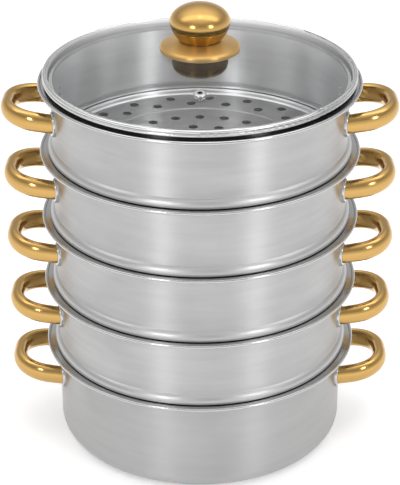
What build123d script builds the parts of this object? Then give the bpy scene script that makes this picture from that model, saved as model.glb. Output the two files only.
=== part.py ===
# Multi-tier steamer pot: a base pot, four perforated steamer tiers and a domed glass lid with a ball knob.
# Millimetres, +Z up. The origin is the centre of the base pot's underside, the handles lie on +X and -X,
# and the lid's vent is on the -Y side.
from build123d import *
import math
import os

# Vessel shells: walls, mouths and flanges are the same on all five vessels
WALL_RADIUS = 140.0
SHEET = 0.8
MOUTH_ROUND = 1.5
FLANGE_REACH = 10.4
BEAD_RADIUS = 1.6
BEAD_RISE = 1.0

# Base pot
BASE_HEIGHT = 98.3
BASE_CORNER = 16.0

# Steamer tiers
TIER_COUNT = 4
TIER_PITCH = 67.5
FOOT_SWELL = 4.3
FOOT_BAND = 9.4
FOOT_CURL = 2.0
SPIGOT_DEPTH = 4.9
SPIGOT_CLEARANCE = 0.8
SPIGOT_ROUND = 1.4
SPIGOT_CORNER = 3.0
FLOOR_STEP_SHARE = 0.707
FLOOR_STEP_RUN = 2.0
FLOOR_STEP_DROP = 0.8

# Steam holes: each ring has its radius as a share of the wall radius, its number of holes and its first angle
HOLE_DIAMETER = 8.6
HOLE_RING_SHARES = (
    (0.193, 7, 12.0),
    (0.375, 13, 14.1),
    (0.557, 20, 0.0),
    (0.796, 20, 4.5),
    (0.898, 20, 13.6),
)

# Tube handles and their weld pads
TUBE_WIDTH = 13.7
TUBE_HEIGHT = 19.0
TUBE_WALL = 1.2
HANDLE_LEG_SPACING = 71.6
HANDLE_REACH = 45.3
HANDLE_CORNER = 31.0
HANDLE_DROP = 31.6
HANDLE_RISE = 6.2
PAD_HEIGHT = 24.0
PAD_WIDTH = 18.0
PAD_THICKNESS = 2.6

# Lid glass: its edge lies outside the wall by the overhang
GLASS_OVERHANG = 3.6
GLASS_THICKNESS = 4.0
GLASS_EDGE_HEIGHT = 9.2
GLASS_CROWN_HEIGHT = 30.4
GLASS_EDGE_ROUND = 1.2

# Lid rim: two rolled beads outside, a shelf under the glass, a leg, a foot on the flange and a locating lip
RIM_WRAP = 3.7
RIM_BEAD_RADIUS = 1.7
RIM_BEAD_DROP = 1.4
RIM_BEAD_PITCH = 3.3
RIM_SHEET = 0.8
RIM_LEG_INSET = 1.2
RIM_LIP_DEPTH = 2.0
RIM_LIP_CLEARANCE = 0.8

# Vent eyelet
VENT_RADIUS_FROM_CENTRE = 94.0
VENT_BARREL_DIAMETER = 7.2
VENT_BORE = 4.6
VENT_FLANGE_DIAMETER = 11.8
VENT_FLANGE_HEIGHT = 2.2
VENT_FLANGE_ROUND = 1.6
VENT_ROLL_DIAMETER = 9.6
VENT_ROLL_HEIGHT = 1.4
VENT_CLEARANCE = 0.1

# Knob
KNOB_RADIUS = 28.2
KNOB_CROWN = 17.1
KNOB_STAND = 9.6
KNOB_SHELL = 1.2
CAP_BAND = 1.0
CAP_SEAM = 0.4
CUP_RIM_DEPTH = 2.4
CUP_INSET = 0.5
CUP_FIT = 0.1
CUP_FLOOR_RADIUS = 20.6
CUP_DEPTH = 16.3
CUP_WAIST_SHARE = 0.915
CUP_WAIST_HEIGHT_SHARE = 0.491
CUP_GROOVE_HEIGHT_SHARE = 0.589
CUP_GROOVE_RADIUS = 0.7
NECK_RADIUS = 17.5
NECK_GAP = 1.3

# Knob skirt: a saucer whose edge stands on the gasket
SKIRT_RADIUS = 37.4
SKIRT_SHEET = 1.2
SKIRT_EDGE_HEIGHT = 1.6
SKIRT_SHOULDER_RADIUS = 34.0
SKIRT_SHOULDER_HEIGHT = 5.0
SKIRT_TOP_RADIUS = 20.0
SKIRT_TOP_SLOPE_SHARE = 0.5
GASKET_THICKNESS = 0.6
GASKET_WIDTH = 4.0
GASKET_INSET = 0.4
SEAL_CLEARANCE = 0.05

# What clamps the knob to the glass
INSERT_DIAMETER = 13.0
INSERT_FLANGE_DIAMETER = 26.0
INSERT_FLANGE_THICKNESS = 2.0
INSERT_CAP_THICKNESS = 0.9
INSERT_FIT = 0.15
SCREW_DIAMETER = 5.0
SCREW_HEAD_DIAMETER = 10.0
SCREW_HEAD_HEIGHT = 3.0
SCREW_SLOT_WIDTH = 1.4
SCREW_SLOT_DEPTH = 1.2
SCREW_THREAD_LENGTH = 9.0
SCREW_CLEARANCE = 0.3
WASHER_DIAMETER = 12.0
WASHER_THICKNESS = 1.0
GLASS_HOLE_DIAMETER = 14.0
BACKING_RADIUS = 26.0
BACKING_DEPTH = 19.0
BACKING_SHEET = 0.8
BACKING_CORNER = 9.0
BACKING_GASKET_THICKNESS = 1.2
BACKING_GASKET_WIDTH = 4.0

# Extra length of every cutting tool past the faces that it cuts
OVERRUN = 5.0

# Where the middle points of a curve stand so that it follows a quarter ellipse, as a share of each radius
QUARTER_ELLIPSE_SHARE = 4 / 3 * (math.sqrt(2) - 1)

# Derived radii and levels
MOUTH_RADIUS = WALL_RADIUS - SHEET
SPIGOT_RADIUS = MOUTH_RADIUS - SPIGOT_CLEARANCE
FOOT_RADIUS = WALL_RADIUS + FOOT_SWELL
BEAD_CENTRE_RADIUS = WALL_RADIUS + FLANGE_REACH
LEG_OFFSET = HANDLE_LEG_SPACING / 2
LEG_ROOT = math.sqrt(WALL_RADIUS**2 - LEG_OFFSET**2)
SEAT_HEIGHT = BASE_HEIGHT + TIER_COUNT * TIER_PITCH
GLASS_RADIUS = WALL_RADIUS + GLASS_OVERHANG
RIM_RADIUS = GLASS_RADIUS + RIM_WRAP
RIM_LEG_RADIUS = GLASS_RADIUS - RIM_LEG_INSET
RIM_UPPER_BEAD_HEIGHT = GLASS_EDGE_HEIGHT - RIM_BEAD_DROP
RIM_LOWER_BEAD_HEIGHT = RIM_UPPER_BEAD_HEIGHT - RIM_BEAD_PITCH
CUP_FLOOR_HEIGHT = GLASS_CROWN_HEIGHT + KNOB_STAND
KNOB_EQUATOR_HEIGHT = CUP_FLOOR_HEIGHT + CUP_DEPTH
DOME_SAG = GLASS_CROWN_HEIGHT - GLASS_EDGE_HEIGHT
DOME_RADIUS = (GLASS_RADIUS**2 + DOME_SAG**2) / (2 * DOME_SAG)
DOME_CENTRE = GLASS_CROWN_HEIGHT - DOME_RADIUS
UNDER_DOME_RADIUS = DOME_RADIUS - GLASS_THICKNESS


def dome_height(radius, sphere_radius=DOME_RADIUS):
    """Height of the glass dome above the lid's seat at a given distance from the axis."""
    return DOME_CENTRE + math.sqrt(sphere_radius**2 - radius**2)


SKIRT_BOTTOM = dome_height(SKIRT_RADIUS) + GASKET_THICKNESS
BACKING_TOP = dome_height(BACKING_RADIUS, UNDER_DOME_RADIUS) - BACKING_GASKET_THICKNESS
BACKING_BOTTOM = BACKING_TOP - BACKING_DEPTH
NECK_HEIGHT = CUP_FLOOR_HEIGHT - NECK_GAP


def turned(outline):
    """Solid of revolution about Z from a closed outline or face drawn as (radius, height)."""
    return revolve(Plane.XZ * make_face(outline.edges()), Axis.Z)


def ring(inner, outer, bottom, top):
    """Plain ring between two radii and two heights."""
    return turned(Polyline((inner, bottom), (outer, bottom), (outer, top), (inner, top), close=True))


def sheet_shell(skin, thickness):
    """Shell of even thickness on the inner side of an open skin drawn from the axis outwards."""
    return turned(offset(skin, thickness, side=Side.LEFT))


def flange_skin(flange_height):
    """Outer skin of the wall's top end and the flange, from the wall to the bead's centre."""
    bend = MOUTH_ROUND - SHEET
    underside = flange_height - SHEET
    corner = RadiusArc((WALL_RADIUS, underside - bend), (WALL_RADIUS + bend, underside), bend)
    return corner + Line(corner @ 1, (BEAD_CENTRE_RADIUS, underside))


def flange_bead(flange_height):
    """Rolled edge of the flange, a little proud of its upper face."""
    height = flange_height + BEAD_RISE - BEAD_RADIUS
    return Pos(0, 0, height) * Torus(BEAD_CENTRE_RADIUS, BEAD_RADIUS)


def base_pot():
    """Base pot: flat bottom, round corner, straight wall and rolled flange."""
    rim = flange_skin(BASE_HEIGHT)
    floor_line = Line((0, 0), (WALL_RADIUS - BASE_CORNER, 0))
    corner = RadiusArc(floor_line @ 1, (WALL_RADIUS, BASE_CORNER), -BASE_CORNER)
    wall = Line(corner @ 1, rim @ 0)
    shell = sheet_shell(floor_line + corner + wall + rim, SHEET)
    return shell + flange_bead(BASE_HEIGHT)


def floor_skin():
    """Underside of a tier's floor, from the axis to the spigot's corner. Height 0 is the foot of the tier."""
    floor = -SPIGOT_DEPTH
    step_radius = FLOOR_STEP_SHARE * WALL_RADIUS
    step_start = (step_radius - FLOOR_STEP_RUN / 2, floor - FLOOR_STEP_DROP)
    step_end = (step_radius + FLOOR_STEP_RUN / 2, floor)
    inner_floor = Line((0, floor - FLOOR_STEP_DROP), step_start)
    return inner_floor + Line(step_start, step_end) + Line(step_end, (SPIGOT_RADIUS - SPIGOT_CORNER, floor))


def wall_skin():
    """Outer skin of a tier from the spigot's corner to the flange. Height 0 is the foot of the tier."""
    rim = flange_skin(TIER_PITCH)
    start = (SPIGOT_RADIUS - SPIGOT_CORNER, -SPIGOT_DEPTH)
    corner = RadiusArc(start, (SPIGOT_RADIUS, SPIGOT_CORNER - SPIGOT_DEPTH), -SPIGOT_CORNER)
    spigot = Line(corner @ 1, (SPIGOT_RADIUS, -SPIGOT_ROUND))
    seat_bend = RadiusArc(spigot @ 1, (SPIGOT_RADIUS + SPIGOT_ROUND, 0), SPIGOT_ROUND)
    seat = Line(seat_bend @ 1, (FOOT_RADIUS - FOOT_CURL, 0))
    curl = RadiusArc(seat @ 1, (FOOT_RADIUS, FOOT_CURL), -FOOT_CURL)
    band_rise = FOOT_BAND - FOOT_CURL
    band_radius = (FOOT_SWELL**2 + band_rise**2) / (2 * FOOT_SWELL)
    band = RadiusArc(curl @ 1, (WALL_RADIUS, FOOT_BAND), -band_radius)
    wall = Line(band @ 1, rim @ 0)
    return corner + spigot + seat_bend + seat + curl + band + wall + rim


def steam_holes():
    """Cutters for the rings of steam holes in a tier's floor."""
    depth = SPIGOT_DEPTH + FLOOR_STEP_DROP + OVERRUN
    cutter = Cylinder(HOLE_DIAMETER / 2, depth + OVERRUN)
    places = []
    for share, count, first_angle in HOLE_RING_SHARES:
        places += PolarLocations(share * WALL_RADIUS, count, first_angle)
    return [place * Pos(0, 0, -SPIGOT_DEPTH) * cutter for place in places]


def steamer_tier():
    """Wall of a steamer tier in its own frame, with its spigot, foot and flange."""
    return sheet_shell(wall_skin(), SHEET) + flange_bead(TIER_PITCH)


def tier_floor():
    """Perforated floor of a steamer tier, drawn from the same sheet as its wall."""
    return sheet_shell(floor_skin(), SHEET) - steam_holes()


def handle_tube():
    """Bent handle tube on the +X side. Height 0 is the flange of its vessel."""
    end = LEG_ROOT + HANDLE_REACH
    start = LEG_ROOT - TUBE_WIDTH
    run = end - HANDLE_CORNER
    turn = LEG_OFFSET - HANDLE_CORNER
    near_leg = Line((start, -LEG_OFFSET), (run, -LEG_OFFSET))
    near_bend = RadiusArc(near_leg @ 1, (end, -turn), -HANDLE_CORNER)
    grip = Line(near_bend @ 1, (end, turn))
    far_bend = RadiusArc(grip @ 1, (run, LEG_OFFSET), -HANDLE_CORNER)
    far_leg = Line(far_bend @ 1, (start, LEG_OFFSET))
    path = near_leg + near_bend + grip + far_bend + far_leg
    section_plane = Plane(origin=near_leg @ 0, x_dir=(0, 1, 0), z_dir=near_leg % 0)
    outside = sweep(section_plane * Ellipse(TUBE_WIDTH / 2, TUBE_HEIGHT / 2), path)
    bore = Ellipse(TUBE_WIDTH / 2 - TUBE_WALL, TUBE_HEIGHT / 2 - TUBE_WALL)
    inside = sweep(section_plane * bore, path)
    slope = math.degrees(math.asin(HANDLE_RISE / HANDLE_REACH))
    to_root = Pos(LEG_ROOT, 0, -HANDLE_DROP) * Rot(0, -slope, 0) * Pos(-LEG_ROOT, 0, 0)
    body = Pos(0, 0, -HANDLE_DROP) * Cylinder(WALL_RADIUS + PAD_THICKNESS, 2 * PAD_HEIGHT)
    return to_root * (outside - inside) - body


def weld_pads():
    """The two oval pads that carry one handle on the +X side, curved to the wall."""
    blank = Plane.YZ * extrude(Ellipse(PAD_WIDTH / 2, PAD_HEIGHT / 2), WALL_RADIUS + OVERRUN)
    band = ring(WALL_RADIUS, WALL_RADIUS + PAD_THICKNESS, -PAD_HEIGHT, PAD_HEIGHT)
    shell = Pos(0, 0, -HANDLE_DROP) * band
    return [shell & (Pos(0, side * LEG_OFFSET, -HANDLE_DROP) * blank) for side in (-1, 1)]


def lid_glass():
    """Clear dome with a hole for the knob screw and one for the vent."""
    edge_top = dome_height(GLASS_RADIUS)
    edge_bottom = dome_height(GLASS_RADIUS, UNDER_DOME_RADIUS)
    upper = RadiusArc((0, GLASS_CROWN_HEIGHT), (GLASS_RADIUS, edge_top), DOME_RADIUS)
    under_crown = (0, GLASS_CROWN_HEIGHT - GLASS_THICKNESS)
    lower = RadiusArc(under_crown, (GLASS_RADIUS, edge_bottom), UNDER_DOME_RADIUS)
    section = make_face(upper + Line(upper @ 1, lower @ 1) + lower + Line(lower @ 0, upper @ 0))
    dome = turned(fillet(section.vertices().sort_by(Axis.X)[-2:], GLASS_EDGE_ROUND))
    height = GLASS_CROWN_HEIGHT + OVERRUN
    knob_hole = Pos(0, 0, height / 2) * Cylinder(GLASS_HOLE_DIAMETER / 2, height)
    bore = Cylinder(VENT_BARREL_DIAMETER / 2 + VENT_CLEARANCE, 2 * (GLASS_THICKNESS + OVERRUN))
    return dome - knob_hole - vent_frame() * bore


def vent_frame():
    """Place on the dome where the vent eyelet stands, square to the glass."""
    tilt = math.degrees(math.asin(VENT_RADIUS_FROM_CENTRE / DOME_RADIUS))
    return Pos(0, -VENT_RADIUS_FROM_CENTRE, dome_height(VENT_RADIUS_FROM_CENTRE)) * Rot(tilt, 0, 0)


def lid_rim():
    """Rolled steel ring round the glass. Its foot stands on the flange and its lip drops into the mouth."""
    bead_centre = RIM_RADIUS - RIM_BEAD_RADIUS
    beads = [Pos(0, 0, height) * Torus(bead_centre, RIM_BEAD_RADIUS)
             for height in (RIM_UPPER_BEAD_HEIGHT, RIM_LOWER_BEAD_HEIGHT)]
    glass_bottom = dome_height(GLASS_RADIUS, UNDER_DOME_RADIUS)
    shelf = ring(RIM_LEG_RADIUS - RIM_SHEET, bead_centre, glass_bottom - RIM_SHEET, glass_bottom)
    lip_radius = MOUTH_RADIUS - RIM_LIP_CLEARANCE
    leg = ring(RIM_LEG_RADIUS - RIM_SHEET, RIM_LEG_RADIUS, 0, glass_bottom)
    foot = ring(lip_radius - RIM_SHEET, RIM_LEG_RADIUS, 0, RIM_SHEET)
    lip = ring(lip_radius - RIM_SHEET, lip_radius, -RIM_LIP_DEPTH, RIM_SHEET)
    sleeve = ring(GLASS_RADIUS, bead_centre, glass_bottom, RIM_UPPER_BEAD_HEIGHT)
    return beads[0] + beads[1] + shelf + leg + foot + lip + sleeve


def vent_eyelet():
    """Rivet eyelet: a round-edged flange on the glass, a barrel through it and a rolled end below."""
    bore = VENT_BORE / 2
    barrel = VENT_BARREL_DIAMETER / 2
    flange = VENT_FLANGE_DIAMETER / 2
    roll = VENT_ROLL_DIAMETER / 2
    under = -GLASS_THICKNESS - VENT_CLEARANCE
    section = make_face(Polyline(
        (bore, under - VENT_ROLL_HEIGHT),
        (roll, under - VENT_ROLL_HEIGHT),
        (roll, under),
        (barrel, under),
        (barrel, 0),
        (flange, 0),
        (flange, VENT_FLANGE_HEIGHT),
        (bore, VENT_FLANGE_HEIGHT),
        close=True,
    ))
    top_corner = section.vertices().sort_by(Axis.Y)[-2:].sort_by(Axis.X)[-1]
    return vent_frame() * turned(fillet(top_corner, VENT_FLANGE_ROUND))


def quarter_ellipse(radius, rise, base):
    """Curve from a radius at the base height up to the axis."""
    return Bezier(
        (radius, base),
        (radius, base + QUARTER_ELLIPSE_SHARE * rise),
        (QUARTER_ELLIPSE_SHARE * radius, base + rise),
        (0, base + rise),
    )


def knob_cap():
    """Upper half of the ball, a shell with a short straight band below its widest line."""
    inner_radius = KNOB_RADIUS - KNOB_SHELL
    bottom = KNOB_EQUATOR_HEIGHT - CAP_BAND
    outside = quarter_ellipse(KNOB_RADIUS, KNOB_CROWN, KNOB_EQUATOR_HEIGHT)
    inside = quarter_ellipse(inner_radius, KNOB_CROWN - KNOB_SHELL, KNOB_EQUATOR_HEIGHT)
    band = Polyline(inside @ 0, (inner_radius, bottom), (KNOB_RADIUS, bottom), outside @ 0)
    return turned(outside + inside + band + Line(inside @ 1, outside @ 1))


def knob_cup():
    """Lower bowl of the ball: a spigot inside the cap, a curved side with a groove and a holed floor."""
    top = KNOB_EQUATOR_HEIGHT - CAP_BAND - CAP_SEAM
    waist_height = CUP_FLOOR_HEIGHT + CUP_WAIST_HEIGHT_SHARE * CUP_DEPTH
    side_radius = KNOB_RADIUS - CUP_INSET
    spigot_radius = KNOB_RADIUS - KNOB_SHELL - CUP_FIT
    floor_top = CUP_FLOOR_HEIGHT + KNOB_SHELL
    side = ThreePointArc(
        (side_radius, top),
        (CUP_WAIST_SHARE * KNOB_RADIUS, waist_height),
        (CUP_FLOOR_RADIUS, CUP_FLOOR_HEIGHT),
    )
    inner_side = ThreePointArc(
        (spigot_radius - KNOB_SHELL, top),
        (CUP_WAIST_SHARE * KNOB_RADIUS - 2 * KNOB_SHELL, waist_height),
        (CUP_FLOOR_RADIUS - 2 * KNOB_SHELL, floor_top),
    )
    hole = INSERT_DIAMETER / 2 + INSERT_FIT
    spigot_top = top + CUP_RIM_DEPTH
    upper = Polyline(side @ 0, (spigot_radius, top), (spigot_radius, spigot_top),
                     (spigot_radius - KNOB_SHELL, spigot_top), inner_side @ 0)
    lower = Polyline(inner_side @ 1, (hole, floor_top), (hole, CUP_FLOOR_HEIGHT), side @ 1)
    bowl = turned(side + upper + inner_side + lower)
    groove_radius = CUP_WAIST_SHARE * KNOB_RADIUS + CUP_GROOVE_RADIUS
    groove_height = CUP_FLOOR_HEIGHT + CUP_GROOVE_HEIGHT_SHARE * CUP_DEPTH
    return bowl - Pos(0, 0, groove_height) * Torus(groove_radius, CUP_GROOVE_RADIUS)


def knob_skirt():
    """Flared saucer under the ball, with a recessed neck that the cup stands on."""
    edge_top = SKIRT_BOTTOM + SKIRT_EDGE_HEIGHT
    skin = Spline(
        (SKIRT_RADIUS, edge_top),
        (SKIRT_SHOULDER_RADIUS, SKIRT_BOTTOM + SKIRT_SHOULDER_HEIGHT),
        (SKIRT_TOP_RADIUS, NECK_HEIGHT),
        tangents=((0, 1), (-1, SKIRT_TOP_SLOPE_SHARE)),
    )
    inner = Spline(
        (SKIRT_RADIUS - SKIRT_SHEET, edge_top),
        (SKIRT_SHOULDER_RADIUS - SKIRT_SHEET, SKIRT_BOTTOM + SKIRT_SHOULDER_HEIGHT - SKIRT_SHEET),
        (SKIRT_TOP_RADIUS, NECK_HEIGHT - SKIRT_SHEET),
        tangents=((0, 1), (-1, SKIRT_TOP_SLOPE_SHARE)),
    )
    hole = SCREW_DIAMETER / 2 + SCREW_CLEARANCE
    edge_inside = (SKIRT_RADIUS - SKIRT_SHEET, SKIRT_BOTTOM)
    edge = Polyline(skin @ 0, (SKIRT_RADIUS, SKIRT_BOTTOM), edge_inside, inner @ 0)
    top = Polyline(inner @ 1, (hole, NECK_HEIGHT - SKIRT_SHEET), (hole, CUP_FLOOR_HEIGHT),
                   (NECK_RADIUS, CUP_FLOOR_HEIGHT), (NECK_RADIUS, NECK_HEIGHT), skin @ 1)
    return turned(skin + edge + inner + top)


def knob_insert():
    """Threaded post: a flange that holds the cup's floor down and a head inside the ball."""
    bore = SCREW_DIAMETER / 2
    stem = INSERT_DIAMETER / 2
    flange = INSERT_FLANGE_DIAMETER / 2
    floor_top = CUP_FLOOR_HEIGHT + KNOB_SHELL
    flange_top = floor_top + INSERT_FLANGE_THICKNESS
    thread_end = CUP_FLOOR_HEIGHT + SCREW_THREAD_LENGTH + SCREW_CLEARANCE
    outline = Polyline(
        (bore, CUP_FLOOR_HEIGHT),
        (stem, CUP_FLOOR_HEIGHT),
        (stem, floor_top),
        (flange, floor_top),
        (flange, flange_top),
        (stem, flange_top),
        (stem, thread_end + INSERT_CAP_THICKNESS),
        (0, thread_end + INSERT_CAP_THICKNESS),
        (0, thread_end),
        (bore, thread_end),
        close=True,
    )
    return turned(outline)


def knob_gasket():
    """Silicone ring between the skirt's edge and the glass, moulded to the dome."""
    outer = SKIRT_RADIUS - GASKET_INSET
    blank = ring(outer - GASKET_WIDTH, outer, 0, SKIRT_BOTTOM)
    return blank - Pos(0, 0, DOME_CENTRE) * Sphere(DOME_RADIUS + SEAL_CLEARANCE)


def backing_cup():
    """Round cup under the glass, open towards it, with a hole for the screw in its bottom."""
    hole = SCREW_DIAMETER / 2 + SCREW_CLEARANCE
    bottom = Line((hole, BACKING_BOTTOM), (BACKING_RADIUS - BACKING_CORNER, BACKING_BOTTOM))
    corner = RadiusArc(bottom @ 1, (BACKING_RADIUS, BACKING_BOTTOM + BACKING_CORNER), -BACKING_CORNER)
    side = Line(corner @ 1, (BACKING_RADIUS, BACKING_TOP))
    return sheet_shell(bottom + corner + side, BACKING_SHEET)


def backing_gasket():
    """Silicone ring between the backing cup and the underside of the glass, moulded to the dome."""
    blank = ring(BACKING_RADIUS - BACKING_GASKET_WIDTH, BACKING_RADIUS, BACKING_TOP, GLASS_CROWN_HEIGHT)
    return blank & Pos(0, 0, DOME_CENTRE) * Sphere(UNDER_DOME_RADIUS - SEAL_CLEARANCE)


def knob_screw():
    """Pan-head screw from under the backing cup into the knob insert."""
    head_top = BACKING_BOTTOM - WASHER_THICKNESS
    head_bottom = head_top - SCREW_HEAD_HEIGHT
    tip = CUP_FLOOR_HEIGHT + SCREW_THREAD_LENGTH
    radius = SCREW_HEAD_DIAMETER / 2
    outline = Polyline((0, head_bottom), (radius, head_bottom), (radius, head_top), (0, head_top), close=True)
    section = make_face(outline)
    rim_corner = section.vertices().sort_by(Axis.Y)[:2].sort_by(Axis.X)[-1]
    head = turned(fillet(rim_corner, SCREW_HEAD_HEIGHT / 2))
    slot = Pos(0, 0, head_bottom) * Box(SCREW_HEAD_DIAMETER, SCREW_SLOT_WIDTH, 2 * SCREW_SLOT_DEPTH)
    return head - slot + ring(0, SCREW_DIAMETER / 2, head_top, tip)


def screw_washer():
    """Washer between the screw's head and the backing cup."""
    hole = SCREW_DIAMETER / 2 + SCREW_CLEARANCE
    return ring(hole, WASHER_DIAMETER / 2, BACKING_BOTTOM - WASHER_THICKNESS, BACKING_BOTTOM)


def save(name, shape):
    """Write one sub-part as a STEP file of closed solids."""
    solids = ShapeList(shape).solids() if isinstance(shape, list) else shape.solids()
    body = solids[0] if len(solids) == 1 else Compound(children=list(solids))
    export_step(body, f"parts/{name}.step")
    print(name, len(solids), "solid(s), volume", round(sum(solid.volume for solid in solids)), "mm3")


def save_handles(name, flange_height):
    """Write both handles of a vessel and their weld pads."""
    tube = handle_tube()
    pads = weld_pads()
    for side, angle in (("left", 180), ("right", 0)):
        place = Pos(0, 0, flange_height) * Rot(0, 0, angle)
        save(f"{name}_handle_{side}", place * tube)
        save(f"{name}_weld_pads_{side}", [place * pad for pad in pads])


os.makedirs("parts", exist_ok=True)
save("base_pot", base_pot())
save_handles("base", BASE_HEIGHT)
tier = steamer_tier()
floor = tier_floor()
for number in range(1, TIER_COUNT + 1):
    foot_height = BASE_HEIGHT + (number - 1) * TIER_PITCH
    save(f"steamer_tier_{number}", Pos(0, 0, foot_height) * tier)
    save(f"tier_{number}_floor", Pos(0, 0, foot_height) * floor)
    save_handles(f"tier_{number}", foot_height + TIER_PITCH)

seat = Pos(0, 0, SEAT_HEIGHT)
lid_pieces = (lid_glass, lid_rim, vent_eyelet, knob_cap, knob_cup, knob_skirt, knob_insert, knob_gasket,
              backing_cup, backing_gasket, knob_screw, screw_washer)
for piece in lid_pieces:
    save(piece.__name__, seat * piece())
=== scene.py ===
# %% [markdown]
# # A stacking steamer pot in brushed steel and gold
#
# The real object is a base pot, four steamer tiers and a glass lid, all standing on each other. The vessels
# are drawn and turned from 0.8 mm stainless sheet, so every surface is a surface of revolution with fine
# lines that run round it. The handles and the knob are steel with a gold-coloured coating.
#
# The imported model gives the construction. This script gives the looks: smooth turned shells with real
# rounded edges, punched holes, bent tubes, and metals whose reflections follow the turning lines.

import math

import bmesh
import bpy
from mathutils import Matrix, Vector


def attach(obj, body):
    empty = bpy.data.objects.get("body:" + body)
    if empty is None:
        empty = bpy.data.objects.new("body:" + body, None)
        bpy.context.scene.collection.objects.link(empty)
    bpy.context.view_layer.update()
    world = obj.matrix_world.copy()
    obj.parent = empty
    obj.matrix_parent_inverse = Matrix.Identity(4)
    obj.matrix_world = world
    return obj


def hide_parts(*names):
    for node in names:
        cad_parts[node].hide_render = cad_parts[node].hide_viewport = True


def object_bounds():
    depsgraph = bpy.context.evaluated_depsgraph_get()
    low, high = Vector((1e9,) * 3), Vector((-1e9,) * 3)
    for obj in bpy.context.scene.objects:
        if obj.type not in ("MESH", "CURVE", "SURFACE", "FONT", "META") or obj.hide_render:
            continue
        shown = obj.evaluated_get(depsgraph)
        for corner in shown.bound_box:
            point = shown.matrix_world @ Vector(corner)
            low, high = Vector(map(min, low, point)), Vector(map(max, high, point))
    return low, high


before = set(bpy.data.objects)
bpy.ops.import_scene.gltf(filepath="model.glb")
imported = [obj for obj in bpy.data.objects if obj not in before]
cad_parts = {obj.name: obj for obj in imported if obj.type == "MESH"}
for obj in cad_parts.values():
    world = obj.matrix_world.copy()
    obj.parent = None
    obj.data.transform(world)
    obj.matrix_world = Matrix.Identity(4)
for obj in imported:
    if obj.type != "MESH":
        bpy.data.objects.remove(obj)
cad_low, cad_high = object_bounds()
scene = bpy.context.scene
MM = 0.001
print("the packed model is", [round(side, 3) for side in cad_high - cad_low], "m")

# %% [markdown]
# ## Camera
#
# The photograph looks down on the stack from the front. The ovals of the lid and of the base open by
# different amounts, which fixes both the camera's height and its distance.

# %% Camera
CAMERA_PLACE = Vector((0, -1.56505, 0.9901))
CAMERA_TARGET = Vector((0, 0, 0.196))
CAMERA_LENS = 133.2

camera = bpy.data.objects.new("camera", bpy.data.cameras.new("camera"))
camera.data.lens = CAMERA_LENS
camera.location = CAMERA_PLACE
camera.rotation_euler = (CAMERA_TARGET - CAMERA_PLACE).to_track_quat("-Z", "Y").to_euler()
scene.collection.objects.link(camera)
scene.camera = camera
scene.view_settings.view_transform = "Standard"
print("the camera looks down by", round(90 - math.degrees(camera.rotation_euler.x), 1), "degrees")

# %% [markdown]
# ## A helper for node trees
#
# Shader trees and geometry trees are both nodes with sockets. One helper adds a node, sets its plain
# settings, and then sets or links each input, so that a tree reads as a list of steps. The other helpers do
# what several trees share: a sum, a distance from the pot's axis, a group's sockets and a new material.


# %% Helpers: nodes, groups and materials
def add(tree, kind, inputs=None, **settings):
    """Adds a node. An input that is given as a socket is linked, and any other is set."""
    node = tree.nodes.new(kind)
    for name, value in settings.items():
        setattr(node, name, value)
    for key, value in (inputs or {}).items():
        if isinstance(value, bpy.types.NodeSocket):
            tree.links.new(value, node.inputs[key])
        else:
            node.inputs[key].default_value = value
    return node


def math_node(tree, operation, first, second=0.0):
    """Output of one Math node."""
    return add(tree, "ShaderNodeMath", {0: first, 1: second}, operation=operation).outputs[0]


def from_axis(tree, place):
    """The part of a place that is across the Z axis, as a vector and as its length."""
    flat = add(tree, "ShaderNodeVectorMath", {0: place, 1: (1, 1, 0)}, operation="MULTIPLY").outputs[0]
    return flat, add(tree, "ShaderNodeVectorMath", {0: flat}, operation="LENGTH").outputs["Value"]


def new_group(name, kind, inputs, outputs):
    """Empty node group with named sockets. Returns the group and its two end nodes."""
    group = bpy.data.node_groups.new(name, kind)
    for socket_name, socket_type, value in inputs:
        socket = group.interface.new_socket(socket_name, in_out="INPUT", socket_type=socket_type)
        if value is not None:
            socket.default_value = value
    for socket_name, socket_type in outputs:
        group.interface.new_socket(socket_name, in_out="OUTPUT", socket_type=socket_type)
    return group, group.nodes.new("NodeGroupInput"), group.nodes.new("NodeGroupOutput")


def new_material(name, settings):
    """Material with these settings on its shader. Returns the material, its tree and the shader."""
    material = bpy.data.materials.new(name)
    material.use_nodes = True
    shader = material.node_tree.nodes["Principled BSDF"]
    for key, value in settings.items():
        shader.inputs[key].default_value = value
    return material, material.node_tree, shader


# %% [markdown]
# ## Light
#
# Metal shows what stands round it, so the lights are made as shapes to be mirrored. Two small soft boxes
# stand at the sides of the camera. The turned walls stretch them into bright upright bands, and the smooth
# knob shows them as two dots. Two larger soft lights hang overhead and fill the inside of the top tier.


# %% Light
SOFT_BOX_TURNS = {"left": -28, "right": 42}
SOFT_BOX_DISTANCE = 1.6
SOFT_BOX_HEIGHT = 0.95
SOFT_BOX_SIZE = (0.3, 0.5)
SOFT_BOX_POWERS = {"left": 4.5, "right": 4.5}
TOP_LIGHT_HEIGHT = 2.2
TOP_LIGHT_PLACES = {"left": -0.8, "right": 0.8}
TOP_LIGHT_SIZE = (0.8, 2.0)
TOP_LIGHT_POWERS = {"left": 5.0, "right": 6.0}


def area_light(name, place, target, size, power):
    """Soft rectangular light that the camera doesn't see itself."""
    light = bpy.data.objects.new(name, bpy.data.lights.new(name, "AREA"))
    light.data.shape = "RECTANGLE"
    light.data.size, light.data.size_y = size
    light.data.energy = power
    light.location = place
    light.rotation_euler = (target - place).to_track_quat("-Z", "Y").to_euler()
    light.visible_camera = False
    scene.collection.objects.link(light)
    return light


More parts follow.
